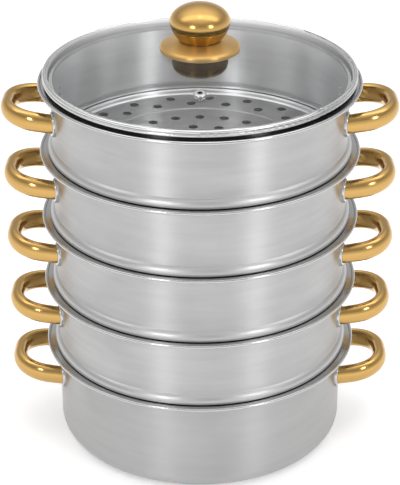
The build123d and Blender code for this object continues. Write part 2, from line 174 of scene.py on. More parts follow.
for side, turn in SOFT_BOX_TURNS.items():
    angle = math.radians(turn)
    box_place = Vector((math.sin(angle), -math.cos(angle), 0)) * SOFT_BOX_DISTANCE
    box_place.z = SOFT_BOX_HEIGHT
    area_light(f"soft_box_{side}", box_place, Vector((0, 0, SOFT_BOX_HEIGHT)), SOFT_BOX_SIZE,
               SOFT_BOX_POWERS[side])
for side, place in TOP_LIGHT_PLACES.items():
    area_light(f"top_light_{side}", Vector((place, 0, TOP_LIGHT_HEIGHT)), Vector((0, 0, cad_high.z)),
               TOP_LIGHT_SIZE, TOP_LIGHT_POWERS[side])
print(len(bpy.data.lights), "soft lights")

# %% [markdown]
# ## World
#
# The world is a plain grey studio that is bright near the horizon and overhead, and darker between. One even
# grey would be simpler, but then steel would look like grey paint. Each stop below is the sine of an
# elevation and the grey there, once for the half in front of the object and once for the half behind it. A
# ramp can't hold a grey above 1, so the ramps hold each grey divided by the strength of the light.

# %% World
SKY_STRENGTH = 2.0
SKY_BLEND = 0.5
FRONT_SKY = ((0.0, 1.0), (0.2, 0.8), (0.35, 0.45), (0.7, 0.55), (0.9, 1.1))
BACK_SKY = ((0.0, 1.0), (0.2, 0.7), (0.42, 0.5), (0.62, 0.8), (0.85, 1.5))

scene.world = bpy.data.worlds.new("studio")
scene.world.use_nodes = True
sky = scene.world.node_tree
sky.nodes.clear()
direction = add(sky, "ShaderNodeTexCoord").outputs["Generated"]
parts = add(sky, "ShaderNodeSeparateXYZ", {0: direction}).outputs


def sky_ramp(stops):
    """Grey by elevation, divided by the strength of the light."""
    ramp = add(sky, "ShaderNodeValToRGB", {0: parts["Z"]})
    while len(ramp.color_ramp.elements) < len(stops):
        ramp.color_ramp.elements.new(1.0)
    for stop, (position, grey) in zip(ramp.color_ramp.elements, stops):
        stop.position = position
        stop.color = (*(grey / SKY_STRENGTH,) * 3, 1)
    return ramp.outputs["Color"]


backwards = add(sky, "ShaderNodeMapRange", {
    "Value": parts["Y"], "From Min": -SKY_BLEND, "From Max": SKY_BLEND},
    interpolation_type="SMOOTHSTEP").outputs[0]
sky_mix = add(sky, "ShaderNodeMix", {0: backwards, 6: sky_ramp(FRONT_SKY), 7: sky_ramp(BACK_SKY)},
              data_type="RGBA")
sky_light = add(sky, "ShaderNodeBackground", {"Color": sky_mix.outputs[2], "Strength": SKY_STRENGTH})
add(sky, "ShaderNodeOutputWorld", {"Surface": sky_light.outputs[0]})
print("the world has", len(FRONT_SKY) + len(BACK_SKY), "stops")

# %% [markdown]
# ## Floor
#
# The pot stands on white paper. The paper glows a little for rays that come from the camera, from glass and
# from gloss, so that it looks white there, while it still keeps the shadow and lights nothing itself.

# %% Floor
FLOOR_SIZE = 12.0
FLOOR_GREY = 0.88
FLOOR_LIFT = 0.3

floor_mesh = bpy.data.meshes.new("floor")
reach = FLOOR_SIZE / 2
floor_mesh.from_pydata([(-reach, -reach, 0), (reach, -reach, 0), (reach, reach, 0), (-reach, reach, 0)], [],
                       [(0, 1, 2, 3)])
floor = bpy.data.objects.new("floor", floor_mesh)
scene.collection.objects.link(floor)

paper, paper_tree, paper_shader = new_material("floor_paper", {
    "Base Color": (FLOOR_GREY, FLOOR_GREY, FLOOR_GREY, 1), "Roughness": 1.0, "Specular IOR Level": 0.0,
    "Emission Color": (1, 1, 1, 1)})
rays = add(paper_tree, "ShaderNodeLightPath")
seen = math_node(paper_tree, "MAXIMUM", rays.outputs["Is Camera Ray"], rays.outputs["Is Glossy Ray"])
seen = math_node(paper_tree, "MAXIMUM", seen, rays.outputs["Is Transmission Ray"])
paper_tree.links.new(math_node(paper_tree, "MULTIPLY", seen, FLOOR_LIFT),
                     paper_shader.inputs["Emission Strength"])
floor_mesh.materials.append(paper)
print("the floor is", FLOOR_SIZE, "m wide")

# %% [markdown]
# ## Surface effects that several metals share
#
# Turned or spun sheet keeps very fine lines that run round the axis. They are far too fine to see one by one,
# but they stretch every reflection across themselves. The anisotropy of the shader does the stretching, and
# this group adds the few lines that are coarse enough to see: noise that changes quickly along the outline
# and slowly round the axis. Most of the noise lies between the two limits below.


# %% Group: turning lines
NOISE_LOW = 0.3
NOISE_HIGH = 0.7


def build_turning_lines():
    """Noise that is fine along the radius and height, and long round the Z axis."""
    group, start, end = new_group(
        "turning_lines", "ShaderNodeTree",
        [("Lines Per Metre", "NodeSocketFloat", 900.0), ("Breaks", "NodeSocketFloat", 3.0)],
        [("Height", "NodeSocketFloat")])
    place = add(group, "ShaderNodeTexCoord").outputs["Object"]
    parts = add(group, "ShaderNodeSeparateXYZ", {0: place}).outputs
    flat, radius = from_axis(group, place)
    heading = add(group, "ShaderNodeVectorMath", {0: flat}, operation="NORMALIZE").outputs["Vector"]
    ways = add(group, "ShaderNodeSeparateXYZ", {0: heading}).outputs
    along = math_node(group, "MULTIPLY", math_node(group, "ADD", radius, parts["Z"]),
                      start.outputs["Lines Per Metre"])
    pattern_place = add(group, "ShaderNodeCombineXYZ", {
        0: along,
        1: math_node(group, "MULTIPLY", ways["X"], start.outputs["Breaks"]),
        2: math_node(group, "MULTIPLY", ways["Y"], start.outputs["Breaks"])}).outputs[0]
    noise = add(group, "ShaderNodeTexNoise", {"Vector": pattern_place, "Scale": 1.0, "Detail": 3.0})
    group.links.new(noise.outputs[0], end.inputs["Height"])
    return group


TURNING_LINES = build_turning_lines()
print("group:", TURNING_LINES.name)

# %% [markdown]
# ### Handling marks
#
# Wiping and touching leave metal a little duller in soft patches. The group turns slow noise into a roughness
# between two limits, so that each material only names how clean and how dull it gets.


# %% Group: handling marks
def build_smudges():
    """Slow, soft patches where the metal is a little duller, as after wiping."""
    group, start, end = new_group(
        "smudges", "ShaderNodeTree",
        [("Patch Size", "NodeSocketFloat", 0.05), ("Cleanest", "NodeSocketFloat", 0.2),
         ("Dullest", "NodeSocketFloat", 0.3)],
        [("Roughness", "NodeSocketFloat")])
    place = add(group, "ShaderNodeTexCoord").outputs["Object"]
    scale = math_node(group, "DIVIDE", 1.0, start.outputs["Patch Size"])
    noise = add(group, "ShaderNodeTexNoise", {"Vector": place, "Scale": scale, "Detail": 4.0})
    spread = add(group, "ShaderNodeMapRange", {
        "Value": noise.outputs[0], "From Min": NOISE_LOW, "From Max": NOISE_HIGH,
        "To Min": start.outputs["Cleanest"], "To Max": start.outputs["Dullest"]})
    group.links.new(spread.outputs[0], end.inputs["Roughness"])
    return group


SMUDGES = build_smudges()
print("group:", SMUDGES.name)

# %% [markdown]
# ## The metals
#
# One maker covers the metals: the same shader with another colour, roughness and anisotropy. Stainless steel
# reflects a little over half of the light, and the gold coating takes out blue. The walls are brushed dull,
# and the flanges and the rim are polished. The inside, the rim and the knob's skirt are painted paler as
# painted light. The base, the tiers' floors and the knob's cap and cup are painted darker as painted shade,
# and the walls of the punched holes, the hollow under the rim and the joint at each foot are painted near
# black as painted shade.


# %% Helper: metal
STREAKS_PER_METRE = 160.0
STREAK_BREAKS = 2.5
ANISOTROPIC_TURN = 0.25
LINE_DEPTH = 0.02 * MM


def add_smudges(tree, shader, clean, dull, patch):
    """Gives a shader a roughness between two limits, in soft patches."""
    smudges = add(tree, "ShaderNodeGroup", {
        "Patch Size": patch, "Cleanest": clean, "Dullest": dull}, node_tree=SMUDGES)
    tree.links.new(smudges.outputs["Roughness"], shader.inputs["Roughness"])


def metal(name, color, clean, dull, anisotropic=0.0, lines=0.0, lines_per_metre=900.0, patch=0.05,
          streaks=0.0):
    """Metal with handling marks, turning lines where lines is above 0, and paler and darker streaks."""
    material, tree, shader = new_material(name, {
        "Base Color": (*color, 1), "Metallic": 1.0, "Anisotropic": anisotropic,
        "Anisotropic Rotation": ANISOTROPIC_TURN})
    add_smudges(tree, shader, clean, dull, patch)
    if lines:
        turning = add(tree, "ShaderNodeGroup", {"Lines Per Metre": lines_per_metre}, node_tree=TURNING_LINES)
        bump = add(tree, "ShaderNodeBump", {
            "Strength": lines, "Distance": LINE_DEPTH, "Height": turning.outputs["Height"]})
        tree.links.new(bump.outputs[0], shader.inputs["Normal"])
    if streaks:
        brushing = add(tree, "ShaderNodeGroup", {
            "Lines Per Metre": STREAKS_PER_METRE, "Breaks": STREAK_BREAKS}, node_tree=TURNING_LINES)
        spread = add(tree, "ShaderNodeMapRange", {
            "Value": brushing.outputs["Height"], "From Min": NOISE_LOW, "From Max": NOISE_HIGH,
            "To Min": 1 - streaks, "To Max": 1 + streaks})
        shade = add(tree, "ShaderNodeVectorMath", {0: color, "Scale": spread.outputs[0]}, operation="SCALE")
        tree.links.new(shade.outputs[0], shader.inputs["Base Color"])
    return material


print("a line is", LINE_DEPTH / MM, "mm deep")

# %% [markdown]
# ### The finishes
#
# Each finish below gives its colour, its roughness where it is clean and where it is dull, and how far the
# brushing stretches reflections. Brushed walls stretch them most, and the small hardware doesn't at all.

# %% Metals
STEEL_COLOR = (0.54, 0.54, 0.54)
# Painted shade: a darker copy of the steel for the base pot.
BASE_PAINTED_SHADE_COLOR = (0.49, 0.49, 0.49)
GOLD_COLOR = (0.57, 0.355, 0.12)
# Painted light: a brighter copy of the gold for the knob's skirt.
SATIN_GOLD_PAINTED_LIGHT_COLOR = (0.68, 0.43, 0.15)
# Painted shade: a copy of the gold, a little darker, for the knob's cap.
CAP_GOLD_PAINTED_SHADE_COLOR = (0.56, 0.345, 0.11)
# Painted shade: a darker copy of the gold for the knob's cup.
CUP_GOLD_PAINTED_SHADE_COLOR = (0.42, 0.25, 0.07)
# Painted shade: near black for the holes, the hollow under the rim and the joint at each foot.
PAINTED_SHADE_COLOR = (0.03, 0.03, 0.03)
# Painted shade: a darker copy of the steel for the tiers' floors.
FLOOR_PAINTED_SHADE_COLOR = (0.3, 0.3, 0.3)
# Painted light: a paler copy of the steel for the inside of the tiers.
INNER_PAINTED_LIGHT_COLOR = (0.82, 0.82, 0.83)
# Painted light: a paler copy of the steel for the lid's rim.
RIM_PAINTED_LIGHT_COLOR = (0.68, 0.68, 0.68)

turned_steel = metal("turned_steel", STEEL_COLOR, 0.4, 0.47, 0.9, lines=0.3, streaks=0.045)
inner_steel_painted_light = metal("inner_steel_painted_light", INNER_PAINTED_LIGHT_COLOR, 0.34, 0.4, 0.9, lines=0.3, streaks=0.04)
floor_steel_painted_shade = metal("floor_steel_painted_shade", FLOOR_PAINTED_SHADE_COLOR, 0.32, 0.38, 0.9, lines=0.3, streaks=0.1)
polished_steel = metal("polished_steel", STEEL_COLOR, 0.18, 0.23, 0.5, lines=0.15)
rim_steel_painted_light_and_shade = metal("rim_steel_painted_light_and_shade", RIM_PAINTED_LIGHT_COLOR, 0.2, 0.26, 0.4, lines=0.2)
base_steel_painted_shade = metal("base_steel_painted_shade", BASE_PAINTED_SHADE_COLOR, 0.4, 0.47, 0.9, lines=0.3, streaks=0.03)
foot_steel = metal("foot_steel", STEEL_COLOR, 0.36, 0.42, 0.3, lines=0.2)
bright_steel = metal("bright_steel", STEEL_COLOR, 0.1, 0.16)
hardware_steel = metal("hardware_steel", STEEL_COLOR, 0.25, 0.35)
pad_steel = metal("pad_steel", STEEL_COLOR, 0.16, 0.22, patch=0.01)
gold_tube = metal("gold_tube", GOLD_COLOR, 0.12, 0.19, patch=0.03)
KNOB_TURNING = {"lines": 0.6, "lines_per_metre": 1500.0, "patch": 0.02}
gold_cap_painted_shade = metal("gold_cap_painted_shade", CAP_GOLD_PAINTED_SHADE_COLOR, 0.2, 0.26, 0.3, **KNOB_TURNING)
gold_cup_painted_shade = metal("gold_cup_painted_shade", CUP_GOLD_PAINTED_SHADE_COLOR, 0.16, 0.22, 0.3, **KNOB_TURNING)
gold_satin_painted_light = metal("gold_satin_painted_light", SATIN_GOLD_PAINTED_LIGHT_COLOR, 0.36, 0.42, 0.8, **KNOB_TURNING)
painted_shade_steel = metal("painted_shade_steel", PAINTED_SHADE_COLOR, 0.4, 0.5)

print("the walls are", turned_steel.name, "and the tubes are", gold_tube.name)

# %% [markdown]
# ### The hollow of the rim
#
# The lid's rim is one folded strip. The hollow between its beads and the flange is painted near black as
# painted shade, for the dark line of shade under the lid. The rim is one mesh, so a mask by radius and height
# tells where the hollow is, and the painted shade fades towards the top. A second material would need the
# mesh to be cut.

# %% Hollow of the rim
# Painted shade: the hollow under the rim is mixed towards near black, most at its bottom.
RIM_PAINTED_SHADE_RADII = (0.1405, 0.1436)
RIM_PAINTED_SHADE_HEIGHTS = (0.3695, 0.3727)
RIM_PAINTED_SHADE_AMOUNTS = (1.0, 0.6)
rim_tree = rim_steel_painted_light_and_shade.node_tree
rim_place = add(rim_tree, "ShaderNodeTexCoord").outputs["Object"]
rim_height = add(rim_tree, "ShaderNodeSeparateXYZ", {0: rim_place}).outputs["Z"]
rim_radius = from_axis(rim_tree, rim_place)[1]
painted_shade_hollow = math_node(rim_tree, "GREATER_THAN", rim_radius, RIM_PAINTED_SHADE_RADII[0])
for place, limit in ((rim_radius, RIM_PAINTED_SHADE_RADII[1]), (rim_height, RIM_PAINTED_SHADE_HEIGHTS[1])):
    painted_shade_hollow = math_node(rim_tree, "MULTIPLY", painted_shade_hollow, math_node(rim_tree, "LESS_THAN", place, limit))
shade = add(rim_tree, "ShaderNodeMapRange", {
    "Value": rim_height, "From Min": RIM_PAINTED_SHADE_HEIGHTS[0], "From Max": RIM_PAINTED_SHADE_HEIGHTS[1],
    "To Min": RIM_PAINTED_SHADE_AMOUNTS[0], "To Max": RIM_PAINTED_SHADE_AMOUNTS[1]})
painted_shade_hollow = math_node(rim_tree, "MULTIPLY", painted_shade_hollow, shade.outputs[0])
rim_color_with_painted_shade = add(rim_tree, "ShaderNodeMix", {0: painted_shade_hollow, 6: (*RIM_PAINTED_LIGHT_COLOR, 1), 7: (*PAINTED_SHADE_COLOR, 1)},
                data_type="RGBA")
rim_tree.links.new(rim_color_with_painted_shade.outputs[2], rim_tree.nodes["Principled BSDF"].inputs["Base Color"])
print("the hollow is dark between the radii", RIM_PAINTED_SHADE_RADII, "m")

# %% [markdown]
# ## Glass
#
# The dome is 4 mm tempered glass. Light has to reach the tier below it, and a path tracer can't find lamps
# through a refracting surface. So for shadow rays, and for rays that leave the steel below, it is plainly
# clear. A low index of refraction keeps the sky's mirror image in it faint, as in the photograph.

# %% Glass
GLASS_COLOR = (0.99, 0.993, 0.992, 1)
GLASS_IOR = 1.2

glass, glass_tree, glass_shader = new_material("clear_glass", {
    "Base Color": GLASS_COLOR, "Roughness": 0.0, "IOR": GLASS_IOR, "Transmission Weight": 1.0})
glass_rays = add(glass_tree, "ShaderNodeLightPath")
clear = add(glass_tree, "ShaderNodeBsdfTransparent", {"Color": GLASS_COLOR})
passed = math_node(glass_tree, "MAXIMUM", glass_rays.outputs["Is Shadow Ray"],
                   glass_rays.outputs["Is Reflection Ray"])
glass_mix = add(glass_tree, "ShaderNodeMixShader", {
    0: passed, 1: glass_shader.outputs[0], 2: clear.outputs[0]})
glass_tree.links.new(glass_mix.outputs[0], glass_tree.nodes["Material Output"].inputs["Surface"])
print("glass:", glass.name)

# %% [markdown]
# ## Plastic and rubber
#
# The cup under the glass is dark plastic, and the two hidden gaskets are silicone. Both come out of a mould
# with a fine even grain, so they share a maker with a small bump.


# %% Plastic and rubber
GRAINS_PER_METRE = 2500.0
MOULDED_PATCH = 0.01
PLASTIC_COLOR = (0.05, 0.045, 0.04)
SILICONE_COLOR = (0.5, 0.5, 0.48)


def moulded(name, color, clean, dull, grain):
    """Moulded plastic or rubber with a fine even grain."""
    material, tree, shader = new_material(name, {"Base Color": (*color, 1)})
    add_smudges(tree, shader, clean, dull, MOULDED_PATCH)
    place = add(tree, "ShaderNodeTexCoord").outputs["Object"]
    noise = add(tree, "ShaderNodeTexNoise", {"Vector": place, "Scale": GRAINS_PER_METRE, "Detail": 2.0})
    bump = add(tree, "ShaderNodeBump", {
        "Strength": grain, "Distance": LINE_DEPTH, "Height": noise.outputs[0]})
    tree.links.new(bump.outputs[0], shader.inputs["Normal"])
    return material


dark_plastic = moulded("dark_plastic", PLASTIC_COLOR, 0.35, 0.45, 0.2)
silicone = moulded("silicone", SILICONE_COLOR, 0.5, 0.6, 0.6)
print("moulded:", dark_plastic.name, silicone.name)

# %% [markdown]
# ## Turned shells
#
# Every vessel is an outline turned round the Z axis. An outline is a list of (radius, height) points in
# millimetres, in which each bend of the sheet is an arc of several points. The edges so have the sheet's
# real thickness and its real bends, and they catch light as the real ones do. The same helpers also make
# the small shapes further down: a shape is a row of rings of points with faces between them.

# %% Helpers: outlines and turned meshes
TURN_STEPS = 256
MERGE = 0.002 * MM


def arc(centre, radius, start, end, steps=8):
    """Points of an arc in an outline, with its angles in degrees from the outward direction."""
    angles = [math.radians(start + (end - start) * step / steps) for step in range(steps + 1)]
    return [(centre[0] + radius * math.cos(angle), centre[1] + radius * math.sin(angle)) for angle in angles]


def bridge(mesh, rings, steps):
    """Faces between each ring of points and the next. A ring may also be a single point."""
    for ring, next_ring in zip(rings, rings[1:]):
        for step in range(steps):
            after = (step + 1) % steps
            corners = [ring[step % len(ring)], ring[after % len(ring)],
                       next_ring[after % len(next_ring)], next_ring[step % len(next_ring)]]
            corners = list(dict.fromkeys(corners))
            if len(corners) > 2:
                mesh.faces.new(corners)


def stored(name, mesh):
    """Mesh data of a bmesh, which is freed."""
    data = bpy.data.meshes.new(name)
    mesh.to_mesh(data)
    mesh.free()
    return data


def turned_mesh(name, outline, steps=TURN_STEPS):
    """Mesh of an outline turned round the Z axis, with its doubles merged."""
    mesh = bmesh.new()
    rings = []
    for radius, height in outline:
        ring = []
        for step in range(steps if radius > 0 else 1):
            angle = math.tau * step / steps
            spot = Vector((radius * math.cos(angle), radius * math.sin(angle), height)) * MM
            ring.append(mesh.verts.new(spot))
        rings.append(ring)
    bridge(mesh, rings, steps)
    bmesh.ops.remove_doubles(mesh, verts=mesh.verts, dist=MERGE)
    return stored(name, mesh)


print("a full turn has", TURN_STEPS, "steps")

# %% [markdown]
# ### Finishing a piece
#
# Every new piece is closed up, shaded smooth except at its hard corners, and then tied to the moving body
# that it belongs to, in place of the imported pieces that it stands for. Flat faces that look straight up or
# down stay flat, so that a level flange or floor mirrors evenly.

# %% Helpers: finished pieces
SHARP_ANGLE = math.radians(28)
LEVEL = 0.99999


def finished(name, data, material, body, slot, *nodes):
    """Object of a finished mesh, with its normals outwards, that rides on a body in place of CAD nodes."""
    mesh = bmesh.new()
    mesh.from_mesh(data)
    bmesh.ops.remove_doubles(mesh, verts=mesh.verts, dist=MERGE)
    bmesh.ops.recalc_face_normals(mesh, faces=mesh.faces)
    mesh.to_mesh(data)
    mesh.free()
    data.shade_smooth()
    data.set_sharp_from_angle(angle=SHARP_ANGLE)
    for face in data.polygons:
        face.use_smooth = abs(face.normal.z) < LEVEL
    data.materials.clear()
    data.materials.append(material)
    piece = bpy.data.objects.new(name, data)
    scene.collection.objects.link(piece)
    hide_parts(*nodes)
    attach(piece, body)
    return piece


def refinish(piece, material, nearest, farthest, lowest, highest, facing=0):
    """Gives another finish to the faces between two radii and two heights, in millimetres.

    With facing at 1 or -1, only the faces that look away from the axis or towards it get the finish.
    """
    if material.name not in piece.data.materials:
        piece.data.materials.append(material)
    finish = piece.data.materials.find(material.name)
    for face in piece.data.polygons:
        radius = math.hypot(face.center.x, face.center.y) / MM
        outward = face.center.x * face.normal.x + face.center.y * face.normal.y
        if (nearest < radius < farthest and lowest < face.center.z / MM < highest
                and facing * outward >= 0):
            face.material_index = finish


print("edges of more than", round(math.degrees(SHARP_ANGLE)), "degrees stay sharp")

# %% [markdown]
# ### The flange
#
# Base pot and tiers end in the same flange: the wall bends outwards, runs level, and its edge is rolled round
# into a bead. Its outline starts at the top of the wall's outside and ends at the top of the inside.

# %% Flange outline
WALL = 140.0
SHEET = 0.8
MOUTH_ROUND = 1.5
BEAD_PLACE = 150.4
BEAD_DROP = 0.6
BEAD = 1.6
BEAD_STEPS = 24
MOUTH = WALL - SHEET - MERGE
FLANGE_EDGE = BEAD_PLACE + 2 * BEAD
FLANGE_BAND = 3.5


def flange(top):
    """Outline of the flange, from the outside of the wall round the bead to its inside."""
    outer_bend = MOUTH_ROUND - SHEET
    bend_height = top - MOUTH_ROUND
    bead_centre = (BEAD_PLACE, top - BEAD_DROP)
    bead_start = math.degrees(math.asin((BEAD_DROP - SHEET) / BEAD))
    bead_end = math.degrees(math.asin(BEAD_DROP / BEAD))
    return (arc((WALL + outer_bend, bend_height), outer_bend, 180, 90)
            + arc(bead_centre, BEAD, 180 - bead_start, 540 - bead_end, BEAD_STEPS)
            + arc((WALL + outer_bend, bend_height), MOUTH_ROUND, 90, 180))


print("a flange's outline has", len(flange(0)), "points")

# %% [markdown]
# ### The base pot
#
# The base is a deep plain pot. Its floor runs into the wall in a wide round, because a press draws it from
# one flat disc. Its outline goes along the outside, round the flange and back along the inside.


# %% Base pot
BASE_TOP = 98.3
BASE_CORNER = 16.0
BASE_CORNER_STEPS = 14

base_corner = (WALL - BASE_CORNER, BASE_CORNER)
base_outline = ([(0, 0)] + arc(base_corner, BASE_CORNER, -90, 0, BASE_CORNER_STEPS) + flange(BASE_TOP)
                + arc(base_corner, BASE_CORNER - SHEET, 0, -90, BASE_CORNER_STEPS) + [(0, SHEET)])
# Painted shade: the base's steel is darker than the tiers' steel.
base_pot = finished("base_pot_shell", turned_mesh("base_pot_shell", base_outline), base_steel_painted_shade, "base",
                    "steel", "base_pot")
refinish(base_pot, polished_steel, MOUTH, FLANGE_EDGE, BASE_TOP - FLANGE_BAND, BASE_TOP + BEAD)
print("base pot:", len(base_pot.data.polygons), "faces")

# %% [markdown]
# ## Steamer tiers
#
# A tier's sheet runs down the wall, swells into a rounded foot that stands on the flange below, folds back
# under it and drops as a short spigot into the mouth below. The floor is flat, with a shallow step at two
# thirds of its radius. Heights count from the foot.

# %% Tier wall outline
TIER_COUNT = 4
PITCH = 67.5
SPIGOT = 138.4
CORNER_ROUND = 3.0
SEAT_ROUND = 1.4
FLOOR_UNDER = -4.9
FLOOR_EDGE = SPIGOT - CORNER_ROUND
FOOT_ROUND = 2.0
BAND_CENTRE = (135.783, 2.0)
BAND_ROUND = 8.517
BAND_STEPS = 12
CREASE_ROUND = 0.5
CREASE_STEPS = 6
FOOT_PAINTED_SHADE_REACH = 0.9

corner_centre = (FLOOR_EDGE, FLOOR_UNDER + CORNER_ROUND)
seat_centre = (SPIGOT + SEAT_ROUND, -SEAT_ROUND)
foot_centre = (BAND_CENTRE[0] + BAND_ROUND - FOOT_ROUND, FOOT_ROUND)
crease_height = BAND_CENTRE[1] + math.sqrt(
    (BAND_ROUND + CREASE_ROUND)**2 - (WALL + CREASE_ROUND - BAND_CENTRE[0])**2)
crease_centre = (WALL + CREASE_ROUND, crease_height)
band_end = math.degrees(math.atan2(crease_height - BAND_CENTRE[1], crease_centre[0] - BAND_CENTRE[0]))
inner_crease = CREASE_ROUND + SHEET

tier_outline = (
    arc(corner_centre, CORNER_ROUND, -90, 0)
    + arc(seat_centre, SEAT_ROUND, 180, 90)
    + arc(foot_centre, FOOT_ROUND, -90, 0)
    + arc(BAND_CENTRE, BAND_ROUND, 0, band_end, BAND_STEPS)
    + arc(crease_centre, CREASE_ROUND, 180 + band_end, 180, CREASE_STEPS)
    + flange(PITCH)
    + arc(crease_centre, inner_crease, 180, 180 + band_end, CREASE_STEPS)
    + arc(BAND_CENTRE, BAND_ROUND - SHEET, band_end, 0, BAND_STEPS)
    + arc(foot_centre, FOOT_ROUND - SHEET, 0, -90)
    + arc(seat_centre, SEAT_ROUND + SHEET, 90, 180)
    + arc(corner_centre, CORNER_ROUND - SHEET, 0, -90))
print("the wall's outline has", len(tier_outline), "points")

# %% [markdown]
# ### The lip of a hole, and the floor's step
#
# Punching draws the edge of each hole in a little, so a hole has a rounded lip. The floor's middle lies a
# little lower, with a soft step round it. Both are turned like the wall, and the step has the wall's number
# of points to a turn, so that it joins the rest of the floor.

# %% Lip and step
HOLE = 4.3
HOLE_COLLAR = 5.0
HOLE_LEAD = 4.62
HOLE_LEAD_DROP = 0.07
HOLE_ROUND_DROP = 0.4
HOLE_STEPS = 16
STEP_PLACE = 0.707 * WALL
STEP_RUN = 2.6
STEP_DROP = 0.8
STEP_SLICES = 6

lip_outline = [(HOLE_COLLAR, 0), (HOLE_LEAD, -HOLE_LEAD_DROP), (HOLE, -HOLE_ROUND_DROP), (HOLE, -SHEET),
               (HOLE_COLLAR, -SHEET)]
hole_lip = bpy.data.objects.new("hole_lip", turned_mesh("hole_lip", lip_outline, steps=HOLE_STEPS))


step_outline = []
for number in range(STEP_SLICES + 1):
    share = number / STEP_SLICES
    rise = share * share * (3 - 2 * share)
    step_outline.append((STEP_PLACE + (share - 1 / 2) * STEP_RUN, -(1 - rise) * STEP_DROP))
print("a hole's lip has", len(lip_outline), "points, and the step has", STEP_SLICES, "slices")

# %% [markdown]
# ### The perforated plate
#
# The floor is punched with rings of holes. A tree takes the hole centres as points. It sets a loop on each,
# fills the plate between all loops, sinks what lies inside the step, and puts a lip in every hole. The
# filled curve gives exact round holes at once, where cutting each one out of a plate would be slow.


# %% Tree: perforated floor
def build_floor_tree():
    """Plate with a loop cut out round each point, in two levels, and a lip in each hole."""
    size = "NodeSocketFloat"
    group, start, end = new_group(
        "perforated_floor", "GeometryNodeTree",
        [("Geometry", "NodeSocketGeometry", None), ("Hole Lip", "NodeSocketObject", None),
         ("Hole Steps", "NodeSocketInt", None), ("Collar Radius", size, None),
         ("Turn Steps", "NodeSocketInt", None), ("Floor Radius", size, None), ("Step Radius", size, None),
         ("Step Run", size, None), ("Step Drop", size, None), ("Sheet", size, None),
         ("Finish", "NodeSocketMaterial", None)],
        [("Geometry", "NodeSocketGeometry")])
    given = start.outputs
    half_run = math_node(group, "MULTIPLY", given["Step Run"], 1 / 2)
    radii = [given["Floor Radius"], math_node(group, "ADD", given["Step Radius"], half_run),
             math_node(group, "SUBTRACT", given["Step Radius"], half_run)]
    outlines = add(group, "GeometryNodeJoinGeometry")
    for radius in radii:
        loop = add(group, "GeometryNodeCurvePrimitiveCircle", {
            "Resolution": given["Turn Steps"], "Radius": radius})
        group.links.new(loop.outputs[0], outlines.inputs[0])
    hole_loop = add(group, "GeometryNodeCurvePrimitiveCircle", {
        "Resolution": given["Hole Steps"], "Radius": given["Collar Radius"]})
    holes = add(group, "GeometryNodeInstanceOnPoints", {
        "Points": given["Geometry"], "Instance": hole_loop.outputs[0]})
    hole_loops = add(group, "GeometryNodeRealizeInstances", {0: holes.outputs[0]})
    group.links.new(hole_loops.outputs[0], outlines.inputs[0])
    plate = add(group, "GeometryNodeFillCurve", {"Curve": outlines.outputs[0]}, mode="TRIANGLES")

    place = add(group, "GeometryNodeInputPosition").outputs[0]
    inside = math_node(group, "LESS_THAN", from_axis(group, place)[1], given["Step Radius"])
    sink = math_node(group, "MULTIPLY", math_node(group, "MULTIPLY", inside, given["Step Drop"]), -1.0)
    sunk_place = add(group, "ShaderNodeCombineXYZ", {2: sink}).outputs[0]
    upper = add(group, "GeometryNodeSetPosition", {"Geometry": plate.outputs[0], "Offset": sunk_place})
    thickness = math_node(group, "MULTIPLY", given["Sheet"], -1.0)
    drop = add(group, "ShaderNodeCombineXYZ", {2: thickness}).outputs[0]
    lower = add(group, "GeometryNodeTransform", {"Geometry": upper.outputs[0], "Translation": drop})
    underside = add(group, "GeometryNodeFlipFaces", {"Mesh": lower.outputs[0]})
    centres = add(group, "GeometryNodeSetPosition", {"Geometry": given["Geometry"], "Offset": sunk_place})
    lip = add(group, "GeometryNodeObjectInfo", {"Object": given["Hole Lip"]})
    lips = add(group, "GeometryNodeInstanceOnPoints", {
        "Points": centres.outputs[0], "Instance": lip.outputs["Geometry"]})
    whole = add(group, "GeometryNodeJoinGeometry")
    for part in (upper.outputs[0], underside.outputs[0], lips.outputs[0]):
        group.links.new(part, whole.inputs[0])
    real = add(group, "GeometryNodeRealizeInstances", {0: whole.outputs[0]})
    done = add(group, "GeometryNodeSetMaterial", {"Geometry": real.outputs[0], "Material": given["Finish"]})
    group.links.new(done.outputs[0], end.inputs[0])
    return group


FLOOR_TREE = build_floor_tree()
print("tree:", FLOOR_TREE.name)

# %% [markdown]
# ### Running a tree
#
# A tree works as a modifier on a mesh. This helper sets the modifier's inputs, takes the result as a plain
# mesh and removes the modifier, so that what is left is an ordinary mesh that every format can store.


# %% Helper: run a tree on a mesh
def grown(name, data, group, values):
    """Plain mesh that a geometry tree makes from a mesh, with the tree's inputs set by name."""
    source = bpy.data.objects.new(name + "_source", data)
    scene.collection.objects.link(source)
    modifier = source.modifiers.new(group.name, "NODES")
    modifier.node_group = group
    for socket in group.interface.items_tree:
        if socket.name in values and socket.in_out == "INPUT":
            modifier[socket.identifier] = values[socket.name]
    ready = source.evaluated_get(bpy.context.evaluated_depsgraph_get())
    result = bpy.data.meshes.new_from_object(ready)
    result.name = name
    source.modifiers.remove(modifier)
    bpy.data.objects.remove(source)
    return result


def points_mesh(name, points, edges=()):
    """Mesh of loose points, given in millimetres, and the edges between them."""
    data = bpy.data.meshes.new(name)
    data.from_pydata([Vector(point) * MM for point in points], edges, [])
    return data


# %% [markdown]
# ### One floor
#
# The holes lie in five rings. Each ring below has its radius as a share of the wall's radius, its number of
# holes, and its first angle, read from the photograph. One floor is made once and used in all four tiers.

# %% Floor of a tier
HOLE_RINGS = ((0.193, 7, 12.0), (0.375, 13, 14.1), (0.557, 20, 0.0), (0.796, 20, 4.5), (0.898, 20, 13.6))

